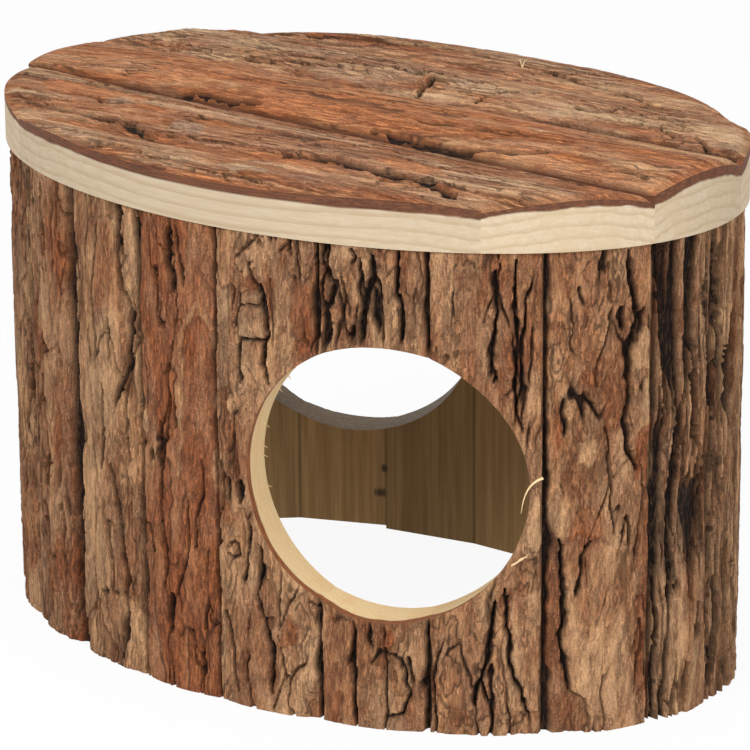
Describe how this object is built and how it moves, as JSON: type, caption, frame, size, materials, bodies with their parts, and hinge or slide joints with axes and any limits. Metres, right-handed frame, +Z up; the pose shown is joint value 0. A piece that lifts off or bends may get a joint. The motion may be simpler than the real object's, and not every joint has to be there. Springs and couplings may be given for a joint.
{
  "type": "wooden hamster house",
  "caption": "Oval, open-bottomed wooden hide for a hamster: upright bark-faced staves, bark-topped slab roof and a round doorway front and back.",
  "frame": {"origin": "middle of the oval footprint, on the ground", "axes": "+X along the oval's length, towards the end that the front doorway lies near; -Y is the front; +Z up"},
  "size_m": [0.2, 0.133, 0.1349],
  "materials": {
    "wall_bark_wood": "rough natural bark outside, sawn softwood inside",
    "roof_bark_wood": "reddish natural bark on top, pale sawn softwood edge"
  },
  "bodies": {
    "root": {"front_door_sill": "wall_bark_wood", "front_door_lintel": "wall_bark_wood", "wall_stave_02": "wall_bark_wood", "wall_stave_03": "wall_bark_wood", "wall_stave_04": "wall_bark_wood", "wall_stave_05": "wall_bark_wood", "wall_stave_06": "wall_bark_wood", "wall_stave_07": "wall_bark_wood", "wall_stave_08": "wall_bark_wood", "wall_stave_09": "wall_bark_wood", "wall_stave_10": "wall_bark_wood", "back_door_sill": "wall_bark_wood", "back_door_lintel": "wall_bark_wood", "wall_stave_12": "wall_bark_wood", "wall_stave_13": "wall_bark_wood", "wall_stave_14": "wall_bark_wood", "wall_stave_15": "wall_bark_wood", "wall_stave_16": "wall_bark_wood", "wall_stave_17": "wall_bark_wood", "wall_stave_18": "wall_bark_wood", "wall_stave_19": "wall_bark_wood", "wall_stave_20": "wall_bark_wood", "roof_slab_front": "roof_bark_wood", "roof_slab_front_middle": "roof_bark_wood", "roof_slab_middle": "roof_bark_wood", "roof_slab_back_middle": "roof_bark_wood", "roof_slab_back": "roof_bark_wood"}
  },
  "joints": []
}
